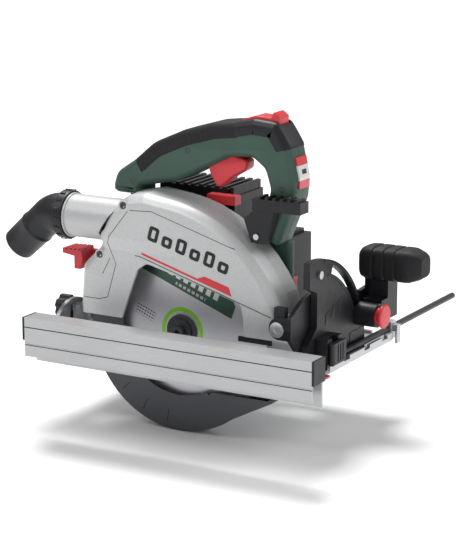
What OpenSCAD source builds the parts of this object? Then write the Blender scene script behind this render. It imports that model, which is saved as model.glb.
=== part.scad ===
// Cordless circular saw: blade on the right, motor on the left.
// X runs forward along the cut, Y to the saw's left, Z up from the sole.
// Modules are drawn with Y measured from the blade plane; cut_frame() moves
// them so that the origin lies on the sole at the middle of the base plate.

/* [Blade and spindle] */
// Diameter of the saw blade
blade_d = 190; // [180:1:192]
// Thickness of the blade's steel body
blade_t = 2; // [1.6:0.1:2.6]
// Diameter of the blade bore
blade_bore_d = 20; // [16:1:20]
// Number of blade teeth
blade_teeth = 24; // [16:1:40]
// Height of the spindle axis above the sole at full depth
arbor_h = 29; // [28:0.5:36]
// Diameter of the spindle shaft
spindle_d = 12; // [10:1:12]
// Diameter of the blade bolt's thread
bolt_d = 8; // [6:1:8]

/* [Guards] */
// Gap from the blade's tip to the lower guard's rim
guard_gap = 4; // [3:0.5:6]
// Thickness of the lower guard's sheet
lower_guard_t = 1.5; // [1:0.1:2]
// Distance of the upper guard's right face from the blade plane
guard_right = 24; // [22:0.5:25]
// Wall of the cast guard
guard_wall = 3; // [2:0.25:4]
// Outer diameter of the dust neck
neck_d = 43; // [40:1:48]

/* [Base] */
// Length of the base plate
base_l = 304; // [290:1:330]
// Width of the base plate
base_w = 200; // [190:1:230]
// Thickness of the base plate
plate_t = 5; // [4:0.5:5]
// Front edge of the base plate ahead of the spindle
base_front = 158; // [158:1:170]

/* [Tilt and depth] */
// Diameter of the two bevel pins
bevel_pin_d = 7; // [6:0.5:7]
// Diameter of the depth pivot bolt
pivot_d = 8; // [6:0.5:10]
// Radius of the bevel quadrant
quadrant_r = 107; // [104:1:110]
// Greatest bevel angle
bevel_max = 45; // [30:1:45]
// Greatest depth swing
depth_max = 30; // [20:1:30]

/* [Parallel guide] */
// Length of the guide fence
fence_l = 316; // [250:1:400]
// Height of the guide fence's face
fence_h = 39; // [36:1:39]
// Diameter of the guide rod
rod_d = 6.5; // [6:0.1:8]
// Length of the guide rod
rod_l = 386; // [300:1:420]

/* [Handles and battery] */
// Width of the main handle
handle_w = 36; // [30:1:38]
// Length of the front handle's grip
bulb_l = 68; // [60:1:90]
// Width of the front handle's grip
bulb_w = 36; // [32:1:38]
// Width of the battery pack
battery_w = 56; // [50:1:75]
// Height of the battery pack
battery_h = 76; // [70:1:100]

/* [Motor] */
// Outer diameter of the motor housing
motor_d = 76; // [72:1:76]
// Length of the motor housing
motor_l = 80; // [70:1:90]
// Diameter of the stator
stator_d = 64; // [50:1:64]
// Diameter of the motor shaft
shaft_d = 8; // [6:1:8]
// Length of the rotor core
rotor_l = 38; // [30:1:42]

/* [Fits] */
// Radial clearance of a running bore
run_gap = 0.05; // [0.02:0.01:0.1]
// Clearance between faces that slide or pass
slide_gap = 0.5; // [0.3:0.1:0.6]

/* [Hidden] */
$fn = 64;
eps = 0.01;
sole_mid = 64;                       // plate centre line, left of the blade plane
arbor = [0, arbor_h];
pivot = [126, 55];                   // depth pivot, X and Z
bevel_z = plate_t + 4;               // bevel axis above the sole
blade_r = blade_d / 2;
lower_r = blade_r + guard_gap + lower_guard_t;
spindle_r = spindle_d / 2;
bolt_r = bolt_d / 2;
shaft_r = shaft_d / 2;
pivot_r = pivot_d / 2;
bevel_r = bevel_pin_d / 2;
guard_left = guard_right + 0.5;      // left face of the gear case's back plate
split_y = 3;                         // joint between cover and gear case
neck_z = arbor_h + 103;
neck_x = -131;
neck_wall = 3;

// stack along the spindle, Y from the blade plane
inner_flange_y = 6;
nose_y = 7.5;
nose_r = 17;
front_bearing_r = 14;
front_bearing_w = 8;
gear_y = nose_y + front_bearing_w + 2;
gear_w = 5;
gear_r = 19.8;
gear_teeth = 40;
pinion_r = 4.8;
pinion_teeth = 10;
rear_bearing_r = 11;
rear_bearing_w = 6;
spindle_end = guard_left + rear_bearing_w;
motor_axis = [-7, arbor_h + 24];     // 25 mm from the spindle
motor_r = motor_d / 2;
motor_y = 50;
adapter_r = 33;
stator_r = stator_d / 2;
stator_y = motor_y + 12;
rotor_r = 15;
bearing_608_r = 11;
bearing_608_w = 7;
shaft_end = motor_y + motor_l - 12;

// lower guard
boss_r = 5;
hub_r = 21;
cheek_y = 8;
guard_spring_y = 12.4;

// handle
handle_mid = 28;
handle_y0 = handle_mid - handle_w / 2;
handle_y1 = handle_mid + handle_w / 2;
grip_t = 9;
cap_t = 12;

// base and quadrant
base_back = base_front - base_l;
base_y0 = sole_mid - base_w / 2;
base_y1 = sole_mid + base_w / 2;
sight_y1 = -1;                       // left edge of the cut sight
tilt_x0 = 134;
tilt_x1 = 138.5;
pivot_boss_r = tilt_x0 - pivot[0] - slide_gap;
quad_x0 = tilt_x1 + 1;
quad_x1 = quad_x0 + 7;
clamp_y = 91.5;
clamp_z = 45;
clamp_r = norm([clamp_y, clamp_z - bevel_z]);
clamp_a = atan2(clamp_z - bevel_z, clamp_y);
clamp_bolt_r = 4;
rear_plate_x = -126;
rear_knob_y = 20;
rear_knob_z = bevel_z + 20;
rear_knob_r = norm([rear_knob_y, rear_knob_z - bevel_z]);
rod_x = quad_x1 + 4;
rod_z = 15;
rod_r = rod_d / 2;
rail_y0 = 26;
rail_y1 = 34;
rail_z0 = plate_t + 2;
rail_z1 = rail_z0 + 6;

// depth strut, an arc about the depth pivot
strut_r = 190;
strut_w = 16;
strut_y0 = guard_left + 1.3;
strut_y1 = strut_y0 + 4.5;
strut_bolt_z = 50;
strut_bolt_x = pivot[0] - sqrt(pow(strut_r, 2) - pow(pivot[1] - strut_bolt_z, 2));
strut_bolt_r = 3;

// fence
fence_in = -74;
fence_out = -96;
fence_back = -122.5;
fence_z = 9;

// battery
battery_x0 = 34;
battery_x1 = 84;
battery_y0 = 54;
battery_z0 = 45;

// ---------- helpers ----------
module cut_frame() translate([0, -sole_mid, 0]) children();
// an XZ outline pushed from y0 to y1
module slab_y(y0, y1) translate([0, y1, 0]) rotate([90, 0, 0])
    linear_extrude(y1 - y0) children();
// a YZ outline pushed from x0 to x1
module slab_x(x0, x1) translate([x0, 0, 0]) rotate([90, 0, 90])
    linear_extrude(x1 - x0) children();
module round_y(p, r, y0, y1) translate([p[0], y1, p[1]]) rotate([90, 0, 0])
    cylinder(r = r, h = y1 - y0);
module round_x(p, r, x0, x1) translate([x0, p[0], p[1]]) rotate([0, 90, 0])
    cylinder(r = r, h = x1 - x0);
module ring_y(p, ro, ri, y0, y1) difference() {
    round_y(p, ro, y0, y1);
    round_y(p, ri, y0 - 1, y1 + 1);
}
module block(x0, x1, y0, y1, z0, z1) translate([x0, y0, z0])
    cube([x1 - x0, y1 - y0, z1 - z0]);
function arc(c, r, a0, a1, n) =
    [for (i = [0:n]) let (a = a0 + (a1 - a0) * i / n) c + r * [cos(a), sin(a)]];
function unit(v) = v / norm(v);
// a closed outline moved inwards by d, corner by corner
function inset(p, d) = [for (i = [0:len(p) - 1])
    let (a = p[(i + len(p) - 1) % len(p)], b = p[i], c = p[(i + 1) % len(p)],
         u = unit(b - a), v = unit(c - b), m = [-u[1], u[0]], n = [-v[1], v[0]])
    b + d * (m + n) / (1 + m * n)];
function lift(p, dz) = [for (q = p) [q[0], q[1] + dz]];
// a toothed disc whose teeth are cut inwards from radius r
module toothed(r, teeth, depth) difference() {
    circle(r = r);
    for (i = [0:teeth - 1]) rotate(360 * i / teeth)
        polygon([[r - depth, -0.2 * depth], [r + 1, -0.6 * depth],
                 [r + 1, 0.6 * depth], [r - depth, 0.2 * depth]]);
}

// ---------- outlines, X and Z ----------
guard_outline = lift(concat([[120, 10]], arc([-22, -18], 152.5, 20, 83, 9),
    [[-32, 137], [-54, 133], [-74, 111], [-87, 92], [-82, 81], [-105, 59], [-110, 11]]), arbor_h);
window_outline = lift([[-62, 0], [80, 0], [80, 42], [35, 53], [-26, 68.5], [-34, 67], [-38, 62],
    [-48, 34]], arbor_h);
handle_outline = lift([[66, 105], [98, 93], [117, 140], [118, 160], [111, 191], [104, 202],
    [97, 212], [72, 214], [52, 210], [28, 207], [-6, 197], [-40, 182], [-60, 165],
    [-82, 147], [-90, 128], [-56, 128]], arbor_h);
handle_loop = lift([[76, 109], [86, 131], [90, 148], [84, 167], [70, 177], [45, 175], [17, 161],
    [-12, 146], [-56, 137], [-56, 100], [60, 100]], arbor_h);

// ---------- base ----------
blade_slot_x = lower_r + 20;
module base_plate() color("silver") cut_frame() difference() {
    union() {
        block(base_back, base_front - 8, base_y0, base_y1, 0, plate_t);
        // turned-up front lip
        slab_y(sight_y1 + 11, base_y1 - 15)
            polygon([[base_front - 8, 0], [base_front, 6], [base_front, 13],
                     [base_front - 3, 13], [base_front - 3, 8], [base_front - 8, plate_t]]);
        block(base_back, base_back + 3, base_y0 + 10, base_y1 - 10, plate_t, 9);
        block(base_back + 20, base_front - 30, base_y1 - 4, base_y1, plate_t, 8);
    }
    block(-blade_slot_x, 106, -11.5, 24.7, -1, plate_t + 1);
    block(tilt_x0 - 1, quad_x0 - slide_gap, -14, 14, -1, plate_t + 1);
    block(rear_plate_x - 1, rear_plate_x + 4.5, -12, 12, -1, plate_t + 1);
    for (x = [-60, 20]) hull() for (dx = [0, 50]) translate([x + dx, 130, -1])
        cylinder(r = 6, h = plate_t + 2, $fn = 32);
    for (y = [40, 84, 124]) block(base_front - 4, base_front + 1, y, y + 12, 9.5, 14);
}
module bevel_quadrant() color("#2c2d31") cut_frame() difference() {
    union() {
        slab_x(quad_x0, quad_x1) intersection() {
            translate([0, bevel_z]) circle(r = quadrant_r);
            polygon([[-14, plate_t], [quadrant_r, plate_t], [quadrant_r, 60], [80, 110],
                     [40, 120], [-11, 120], [-11, 90], [4, 84], [4, 50], [-14, 36]]);
        }
        block(quad_x0 - 4, quad_x1 - eps, 30, 96, plate_t, rail_z0 - 1);
        // foot block in front of the quadrant, below the clamp
        block(quad_x1 - eps, quad_x1 + 0.5, 74, 105, plate_t, 29);
    }
    round_x([0, bevel_z], bevel_r, quad_x0 - 1, quad_x1 + 1);
    // arc slot for the clamp bolt
    slab_x(quad_x0 - 1, quad_x1 + 2) slot_arc(clamp_r, clamp_bolt_r + 0.3,
        clamp_a - 3, clamp_a + bevel_max + 3);
}
// a slot along an arc about the bevel axis, between two angles
module slot_arc(r, half, a0, a1) translate([0, bevel_z])
    polygon(concat(arc([0, 0], r + half, a0, a1, 24), arc([0, 0], r - half, a1, a0, 24)));
module rear_bevel_bracket() color("#8d9094") cut_frame() difference() {
    union() {
        slab_x(-132, -128) intersection() {
            translate([0, bevel_z]) circle(r = 37);
            translate([-40, plate_t]) square([80, 60]);
        }
        block(-140, -128, 16, 37, plate_t, plate_t + 3);
        block(-140, -128, -35, -16, plate_t, plate_t + 3);
    }
    round_x([0, bevel_z], bevel_r, -134, -126);
    slab_x(-134, -126) slot_arc(rear_knob_r, 3.3, 45 - 8, 45 + bevel_max + 8);
}
module bevel_pins() color("#b8bcc2") cut_frame() {
    round_x([0, bevel_z], bevel_r, tilt_x0 - 3, quad_x1);
    round_x([0, bevel_z], bevel_r, -132, rear_plate_x + 6.5);
}
module base_screws() color("#9a9da2") cut_frame() {
    for (y = [-27, 26]) translate([-136, y, plate_t + 3]) cylinder(r = 3.5, h = 2.5);
    round_x([8, 101], 4, quad_x1, quad_x1 + 2.5);
}
module rod_clamp_block() color("#26272b") cut_frame() difference() {
    union() {
        block(quad_x1 + 0.3, 160, 0, 31, plate_t + 8, 40);
        block(quad_x1 + 0.3, base_front - 8.3, 0, 31, plate_t, plate_t + 8);
    }
    round_y([rod_x, rod_z], rod_r + run_gap, -2, 33);
    translate([154, 9, 34]) cube([7, 13, 7]);
}
module rod_clamp_lever() color("#5d6066") cut_frame() difference() {
    union() {
        block(160.4, 165, 6, 30, 15, 36);
        translate([163, 3.4, 15]) cylinder(r = 2.6, h = 21);
        block(160.4, 164, 3.4, 7, 15, 36);
    }
    for (y = [12, 17, 22]) block(164, 166, y, y + 2, 17, 34);
}
module cut_sight() color("#cf3a40") cut_frame()
    block(base_front - 11, base_front + 6, sight_y1 - 13, sight_y1, plate_t, plate_t + 2);
module rod_guide() color("#c9ccd0") cut_frame() difference() {
    union() {
        block(quad_x1 + 0.6, base_front - 3.2, base_y1 - 14, base_y1 - 2, plate_t, rod_z + 8);
        block(base_front + slide_gap, base_front + 3, base_y1 - 12, base_y1 - 4, 1, rod_z + 5);
        block(base_front - 4, base_front + 3, base_y1 - 12, base_y1 - 4, 13.2, rod_z + 5);
    }
    round_y([rod_x, rod_z], rod_r + run_gap, base_y1 - 16, base_y1);
}

// ---------- tilting frame ----------
module front_tilt_plate() color("#3a3b40") cut_frame() difference() {
    union() {
        slab_x(tilt_x0, tilt_x1) {
            translate([0, bevel_z]) circle(r = bevel_r + 4);
            polygon([[-34, 45], [-6, 16], [0, 6], [rail_y0, rail_z0], [rail_y1, rail_z0],
                     [80, 28], [122, 32], [136, 36], [136, 64], [112, 62], [60, 80], [20, 86],
                     [-10, 78], [-34, 66]]);
        }
        for (y = [[-34, -guard_right - 1.2], [guard_left + 1, 34]]) hull() {
            round_y(pivot, 11, y[0], y[1], $fn = 32);
            block(tilt_x0, tilt_x1, y[0], y[1], pivot[1] - 11, pivot[1] + 11);
        }
        // small clamp on the right lug
        block(120, 131, -33, -25.5, pivot[1] + 9, pivot[1] + 20);
    }
    round_y(pivot, pivot_r, -40, 40);
    round_x([0, bevel_z], bevel_r + run_gap, tilt_x0 - 1, tilt_x1 + 1);
    round_x([clamp_y, clamp_z], clamp_bolt_r, tilt_x0 - 1, tilt_x1 + 1);
}
module rear_tilt_bracket() color("#b4b7bb") cut_frame() difference() {
    union() {
        slab_x(rear_plate_x, rear_plate_x + 3.5) {
            translate([0, bevel_z]) circle(r = bevel_r + 3);
            polygon([[-6, 16], [0, 6], [rail_y0, rail_z0], [rail_y1, rail_z0],
                     [rail_y1, 40], [-6, 40]]);
        }
        for (y = [11, 21]) slab_y(y, y + 3)
            polygon([[-126, 20], [-119, 20], [-112.2, 76], [-119.5, 76]]);
        block(-119.5, -112.5, 11, 24, 70, 73);
    }
    round_x([0, bevel_z], bevel_r + run_gap, rear_plate_x - 1, rear_plate_x + 5);
    round_x([rear_knob_y, rear_knob_z], 3 + run_gap, rear_plate_x - 1, rear_plate_x + 5);
}
module tilt_rail() color("#9da0a5") cut_frame()
    block(rear_plate_x + 3.5, tilt_x0, rail_y0, rail_y1, rail_z0, rail_z1);
module depth_strut() color("#a5a8ad") cut_frame() difference() {
    slab_y(strut_y0, strut_y1) intersection() {
        translate(pivot) difference() {
            circle(r = strut_r + strut_w / 2, $fn = 128);
            circle(r = strut_r - strut_w / 2, $fn = 128);
        }
        translate([-90, rail_z1]) square([70, 143]);
    }
    slab_y(strut_y0 - 1, strut_y1 + 1) translate(pivot)
        polygon(concat(arc([0, 0], strut_r + strut_bolt_r + 0.3, 147, 184, 32),
                       arc([0, 0], strut_r - strut_bolt_r - 0.3, 184, 147, 32)));
}
module pivot_bolt() color("#c8ccd2") cut_frame() difference() {
    union() {
        round_y(pivot, pivot_r, -34, 37);
        round_y(pivot, 7.5, -39, -34);
        round_y(pivot, 7, 34, 38);
    }
    translate([pivot[0], -37.5, pivot[1]]) rotate([90, 30, 0]) cylinder(r = 4.2, h = 4, $fn = 6);
}
module front_handle_bracket() color("#2a2b30") cut_frame() difference() {
    union() {
        // clamp tube in front of the quadrant
        round_x([clamp_y, clamp_z], 12, quad_x1 + 0.8, 169);
        round_x([clamp_y, clamp_z], clamp_bolt_r - run_gap, tilt_x0, quad_x1 + 1);
        block(quad_x1 + 1.2, 168, 100, 124, 38, 58);
        block(tilt_x1, 168, 122, 136, 36, 75);
        block(quad_x1 + 1.2, 168, 114, 124, 57, 75);
    }
    round_x([clamp_y, clamp_z], 9.6, 162, 170);
}
grip_x = 136;
grip_y = 124;
grip_z0 = 75;
grip_z1 = 108;
module front_handle() color("#232428") cut_frame() hull() {
    slab_x(grip_x + 7, grip_x + bulb_l - 12) grip_section(0);
    slab_x(grip_x, grip_x + bulb_l) grip_section(6);
}
// rounded cross-section of the front grip, shrunk by d
module grip_section(d) hull() for (s = [-1, 1]) for (z = [grip_z0 + 9, grip_z1 - 9])
    translate([grip_y + s * (bulb_w / 2 - 9), z]) circle(r = 9 - d, $fn = 16);
module bevel_release_button() color("#d5383f") cut_frame() {
    round_x([clamp_y, clamp_z], 9, 166.5, 172);
    round_x([clamp_y, clamp_z], 12, 173.5, 177);
    round_x([clamp_y, clamp_z], 9, 171, 174);
}
module rear_bevel_knob() color("#2b2c30") cut_frame() {
    round_x([rear_knob_y, rear_knob_z], 3, -146, rear_plate_x + 3.4);
    slab_x(-158, -146) translate([rear_knob_y, rear_knob_z]) difference() {
        circle(r = 13);
        for (a = [0:60:300]) rotate(a) translate([15, 0]) circle(r = 4);
    }
    round_x([rear_knob_y, rear_knob_z], 8, -146.5, -132.5);
}

// ---------- upper guard and gear case ----------
module guard_cover() color("#c4c6c9") cut_frame() difference() {
    union() {
        slab_y(-guard_right, -guard_right + 2.5) difference() {
            polygon(guard_outline);
            polygon(window_outline);
        }
        slab_y(-guard_right + 2, split_y) difference() {
            polygon(guard_outline);
            polygon(inset(guard_outline, guard_wall));
        }
        round_y(pivot, pivot_boss_r, -guard_right - 0.5, split_y);
        for (p = screw_points) round_y(p, boss_r, -guard_right + 1, split_y);
    }
    block(-106, 116, -guard_right + 2.5, split_y + 1, 0, arbor_h + 16);
    round_x([0, neck_z], neck_d / 2 + 0.3, neck_x - 2, -66);
    round_y(pivot, pivot_r + run_gap, -guard_right - 2, split_y + 1);
    for (p = screw_points) round_y(p, 2.1, -guard_right - 1, split_y + 1);
    for (p = screw_points) round_y(p, 4, -guard_right - 1, -guard_right + 3);
    // engraved recess lines
    slab_y(-guard_right - 1, -guard_right + 0.4) engraving();
}
screw_points = lift([[-53, 124], [-81, 72]], arbor_h);
module engraving() {
    line([[-44, 120], [-26, 122], [35, 112], [103, 88]], 0.7);
    line([[-44, 120], [-66, 90], [-58, 66], [-69, 29], [-103, 31]], 0.7);
}
// a narrow line through points, relative to the spindle height
module line(p, w) for (i = [0:len(p) - 2]) {
    a = p[i] + [0, arbor_h];
    b = p[i + 1] + [0, arbor_h];
    translate(a) rotate(atan2(b[1] - a[1], b[0] - a[0])) translate([0, -w / 2])
        square([norm(b - a), w]);
}
module gear_case() color("#a9abae") cut_frame() difference() {
    union() {
        slab_y(guard_left - 2.5, guard_left) polygon(guard_outline);
        slab_y(split_y, guard_left - 2) difference() {
            polygon(guard_outline);
            polygon(inset(guard_outline, guard_wall));
        }
        difference() {
            round_x([0, neck_z], neck_d / 2, neck_x, -66);
            slab_y(-30, 30) polygon(inset(guard_outline, 1));
        }
        round_y(pivot, pivot_boss_r, split_y, guard_left + 0.5);
        for (p = screw_points) round_y(p, boss_r, split_y, guard_left - 2);
        // bearing nose, gear chamber and rear bearing housing
        round_y(arbor, nose_r, nose_y, gear_y);
        round_y(arbor, gear_r + 2.4, gear_y - 2, guard_left);
        round_y(motor_axis, pinion_r + 4, gear_y - 2, guard_left);
        round_y(arbor, rear_bearing_r + 2.5, guard_left - 1, spindle_end + 1.5);
        round_y(motor_axis, adapter_r, guard_left - 1, motor_y);
        round_y([strut_bolt_x, strut_bolt_z], strut_bolt_r, guard_left - 1, strut_y1 + 6);
    }
    // open bottom of the shell, clear of the gear chamber
    difference() {
        block(-106, 116, -1, guard_left - 2.5, 0, arbor_h + 16);
        round_y(arbor, nose_r, nose_y, guard_left);
        round_y(arbor, gear_r + 2.4, gear_y - 2, guard_left);
        round_y(motor_axis, pinion_r + 4, gear_y - 2, guard_left);
    }
    round_x([0, neck_z], neck_d / 2 - neck_wall, neck_x - 1, -60);
    round_y(pivot, pivot_r + run_gap, 0, guard_left + 2);
    for (p = screw_points) round_y(p, 2.1, 0, guard_left - 4);
    round_y(arbor, front_bearing_r, nose_y - 1, nose_y + front_bearing_w);
    round_y(arbor, gear_r + 0.6, gear_y - 0.6, gear_y + gear_w + 0.6);
    round_y(motor_axis, pinion_r + 0.7, gear_y - 0.6, guard_left + 2);
    round_y(arbor, spindle_r + 0.6, nose_y, guard_left);
    round_y(arbor, rear_bearing_r, guard_left, spindle_end);
    round_y(motor_axis, bearing_608_r, guard_left + 1, guard_left + 1 + bearing_608_w);
    round_y(motor_axis, adapter_r - 2.5, guard_left + 12, motor_y + 1);
    round_y(motor_axis, shaft_r + 1, guard_left, guard_left + 14);
}
module guard_screws() color("#1d1d20") cut_frame() for (p = screw_points) {
    round_y(p, 3.6, -guard_right + 0.8, -guard_right + 3);
    round_y(p, 2, -guard_right + 1, guard_left - 6);
}
module chip_strip() color("#1f2024") cut_frame()
    block(76, 112, -guard_right + 0.2, -guard_right + 2.2, arbor_h + 5, arbor_h + 10);
module dust_nozzle() color("#222328") cut_frame() difference() {
    union() {
        round_x([0, neck_z], 24.5, neck_x - 9, neck_x + 3);
        round_x([0, neck_z], 21, neck_x - 22, neck_x - 5);
        nozzle_leg(nozzle_r, nozzle_l);
        translate([neck_x - 22, 0, neck_z]) sphere(r = nozzle_r + 1.5);
    }
    round_x([0, neck_z], neck_d / 2 + run_gap, neck_x - 0.5, neck_x + 4);
    nozzle_leg(outlet_r, nozzle_l + 2);
    round_x([0, neck_z], outlet_r + 1, neck_x - 24, neck_x);
}
nozzle_r = 18;
nozzle_l = 57;
outlet_r = 15;
nozzle_angle = 42;
module nozzle_leg(r, l) translate([neck_x - 22, 0, neck_z]) rotate([0, 180 + 90 - nozzle_angle, 0])
    cylinder(r = r, h = l);

// ---------- lower guard ----------
module sector(r, a0, a1) polygon(concat([[0, 0]], arc([0, 0], r * 1.6, a0, a1, 12)));
module ring_sector(r0, r1, a0, a1) intersection() {
    difference() {
        circle(r = r1, $fn = 96);
        circle(r = r0, $fn = 96);
    }
    sector(r1, a0, a1);
}
module lower_guard() color("#47494e") cut_frame() difference() {
    translate([0, 0, arbor_h]) {
        // left cheek with its hub, right cheek, and the rim between them
        slab_y(cheek_y, cheek_y + lower_guard_t) {
            ring_sector(nose_r + 0.02, lower_r, 160, 302);
            circle(r = hub_r);
        }
        round_y([0, 0], hub_r, cheek_y, cheek_y + 4);
        slab_y(-cheek_y - lower_guard_t, -cheek_y) right_cheek();
        slab_y(-cheek_y - eps, cheek_y + eps) {
            ring_sector(lower_r - lower_guard_t, lower_r, 160, 302);
            polygon([[54, -83.8], [104, -57.8], [104, -56], [52, -82.6]]);
        }
        slab_y(-cheek_y - eps, cheek_y + lower_guard_t) polygon([[52, -84.6], [104, -58], [105, -56],
            [101, -56], [52, -82]]);
        slab_y(cheek_y, cheek_y + lower_guard_t) toe();
    }
    round_y(arbor, nose_r + run_gap, cheek_y - 3, cheek_y + 6);
}
module toe() polygon([[38, -56], [105, -56], [52, -84.6], [30, -94], [0, -80]]);
module right_cheek() {
    ring_sector(64, lower_r, 163, 300);
    toe_right();
}
module toe_right() polygon([[38, -56], [105, -56], [52, -84.6], [26, -96], [18, -72], [28, -66]]);
module guard_spring() color("#8f9298") cut_frame() {
    ring_y(arbor, 20, 18, guard_spring_y, guard_spring_y + 2.4);
    slab_y(guard_spring_y, guard_spring_y + 2) translate(arbor)
        polygon([[-19, 2], [-17.5, 5.8], [-44, 14], [-44, 12]]);
}
lever_pivot = [86, arbor_h + 105];
module guard_lever() color("#26272b") cut_frame() difference() {
    union() {
        block(82, 134, -8, 8.5, 160, 171);
        slab_y(-6, 8) polygon([[72, 150], [80, 128], [94, 127], [98, 140], [104, 161], [84, 161]]);
        for (x = [88:8:128]) block(x, x + 3, -8, 8.5, 170, 173.5);
    }
    round_y(lever_pivot, 3 + run_gap, -9, 9);
}

// ---------- blade group ----------
module blade() color("#c3c6ca") cut_frame() translate([0, 0, arbor_h])
    slab_y(-blade_t / 2, blade_t / 2) difference() {
        circle(r = blade_r, $fn = 96);
        circle(r = blade_bore_d / 2);
        for (i = [0:blade_teeth - 1]) rotate(360 * i / blade_teeth)
            polygon([[blade_r - 7, 1.5], [blade_r + 1, -1], [blade_r + 1, 11], [blade_r - 5, 8]]);
    }
module spindle() color("#aeb2b8") cut_frame() difference() {
    union() {
        round_y(arbor, spindle_r, inner_flange_y, guard_left);
        round_y(arbor, 5, -0.8, spindle_end - 0.3);
        round_y(arbor, spindle_r, 1.2, inner_flange_y + 1);
    }
    round_y(arbor, bolt_r, -2, 16);
}
module inner_flange() color("#8e9196") cut_frame() difference() {
    union() {
        round_y(arbor, hub_r - 1, blade_t / 2, inner_flange_y);
        round_y(arbor, blade_bore_d / 2 - run_gap, -0.5, blade_t / 2 + 1);
    }
    round_y(arbor, spindle_r, 1.2, inner_flange_y + 1);
    round_y(arbor, 5, -2, 2);
}
module outer_flange() color("#232327") cut_frame() difference() {
    union() {
        round_y(arbor, 16.5, -3.5, -blade_t / 2);
        round_y(arbor, 12, -5.5, -3);
    }
    round_y(arbor, bolt_r, -7, 0);
}
module blade_bolt() color("#3a3b40") cut_frame() difference() {
    union() {
        round_y(arbor, 6.5, -11.5, -5.5);
        round_y(arbor, bolt_r, -6, 15);
    }
    translate([arbor[0], -8.5, arbor[1]]) rotate([90, 0, 0]) cylinder(r = 3, h = 5, $fn = 6);
}
module spindle_gear() color("#9a9ea4") cut_frame() translate([0, 0, arbor_h])
    slab_y(gear_y, gear_y + gear_w) difference() {
        toothed(gear_r, gear_teeth, 2.2);
        circle(r = spindle_r);
    }
module bearing(p, ro, ri, y0, y1) {
    ring_y(p, ro, ri + (ro - ri) * 0.62, y0, y1);
    ring_y(p, ri + (ro - ri) * 0.38, ri, y0, y1);
    ring_y(p, ri + (ro - ri) * 0.62, ri + (ro - ri) * 0.38, y0 + 0.8, y1 - 0.8);
}
module spindle_bearings() color("#c5c9ce") cut_frame() {
    bearing(arbor, front_bearing_r, spindle_r + run_gap, nose_y, nose_y + front_bearing_w);
    bearing(arbor, rear_bearing_r, 5 + run_gap, guard_left, spindle_end);
}

// ---------- motor ----------
module motor_shaft() color("#b0b4ba") cut_frame() {
    round_y(motor_axis, shaft_r, gear_y + gear_w, shaft_end + bearing_608_w - 0.3);
    translate([motor_axis[0], 0, motor_axis[1]]) slab_y(gear_y, gear_y + gear_w)
        toothed(pinion_r, pinion_teeth, 1.2);
}
module rotor_core() color("#6d7177") cut_frame() ring_y(motor_axis, rotor_r, shaft_r,
    stator_y, stator_y + rotor_l);
module motor_fan() color("#1e1f23") cut_frame() {
    ring_y(motor_axis, 9, shaft_r, guard_left + 13, guard_left + 22);
    ring_y(motor_axis, 28, 8.5, guard_left + 20.5, guard_left + 22);
    for (i = [0:10]) translate([motor_axis[0], 0, motor_axis[1]]) rotate([0, 360 * i / 11, 0])
        block(12, 27, -0.8 + guard_left + 15, guard_left + 21, -0.8, 0.8);
}
module motor_bearings() color("#c5c9ce") cut_frame() {
    bearing(motor_axis, bearing_608_r, shaft_r + run_gap, guard_left + 1,
        guard_left + 1 + bearing_608_w);
    bearing(motor_axis, bearing_608_r, shaft_r + run_gap, shaft_end, shaft_end + bearing_608_w);
}
module stator() color("#9c6b3c") cut_frame() {
    translate([motor_axis[0], 0, motor_axis[1]]) slab_y(stator_y - 1, stator_y + rotor_l + 1) {
        difference() {
            circle(r = stator_r);
            circle(r = stator_r - 6);
        }
        for (a = [0:60:300]) rotate(a) difference() {
            translate([rotor_r + 0.8, -4]) square([stator_r - rotor_r - 4, 8]);
            circle(r = rotor_r + 0.6);
        }
    }
}
module motor_housing() color("#2f4a41") cut_frame() difference() {
    union() {
        round_y(motor_axis, motor_r, motor_y, motor_y + motor_l);
        for (z = [-32, -22, -12]) block(motor_axis[0] - motor_r, motor_axis[0],
            motor_y + 8, motor_y + motor_l - 8, motor_axis[1] + z, motor_axis[1] + z + 3);
    }
    round_y(motor_axis, stator_r, motor_y - 1, max(shaft_end - 8, stator_y + rotor_l + 1.5));
    round_y(motor_axis, stator_r - 4, shaft_end - 9, shaft_end - 2);
    round_y(motor_axis, bearing_608_r, shaft_end - 3, shaft_end + bearing_608_w);
    round_y(motor_axis, bearing_608_r - 2, shaft_end, motor_y + motor_l + 1);
}
module motor_end_cap() color("#26282c") cut_frame() difference() {
    union() {
        round_y(motor_axis, motor_r - 1, motor_y + motor_l, motor_y + motor_l + 6);
        round_y(motor_axis, motor_r - 5, motor_y + motor_l + 5, motor_y + motor_l + 9);
    }
    for (z = [-18:6:18]) block(motor_axis[0] - 20, motor_axis[0] + 20, motor_y + motor_l + 4,
        motor_y + motor_l + 10, motor_axis[1] + z - 1, motor_axis[1] + z + 1);
}
module electronics_cover() color("#2c2d31") cut_frame() difference() {
    union() {
        block(-57, 32, handle_y1 + 0.3, 104, motor_axis[1], 158);
        block(-50, 25, handle_y1 + 0.3, 98, 157, 165);
        for (x = [-54:9:27]) block(x, x + 4, handle_y1 + 0.3, 101, 157, 167);
    }
    round_y(motor_axis, motor_r, 40, 110);
    block(-52, 27, handle_y1 + 3, 100, 100, 152);
    block(-60, 40, 40, motor_y + 4, 0, motor_axis[1] + 36);
}
module control_board() color("#2f6b47") cut_frame() {
    block(-46, 22, 54, 94, 102, 104);
    for (x = [-38:14:4]) block(x, x + 8, 60, 74, 104, 110);
    block(-50, 25, 52, 98, 100, 102);
}

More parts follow.
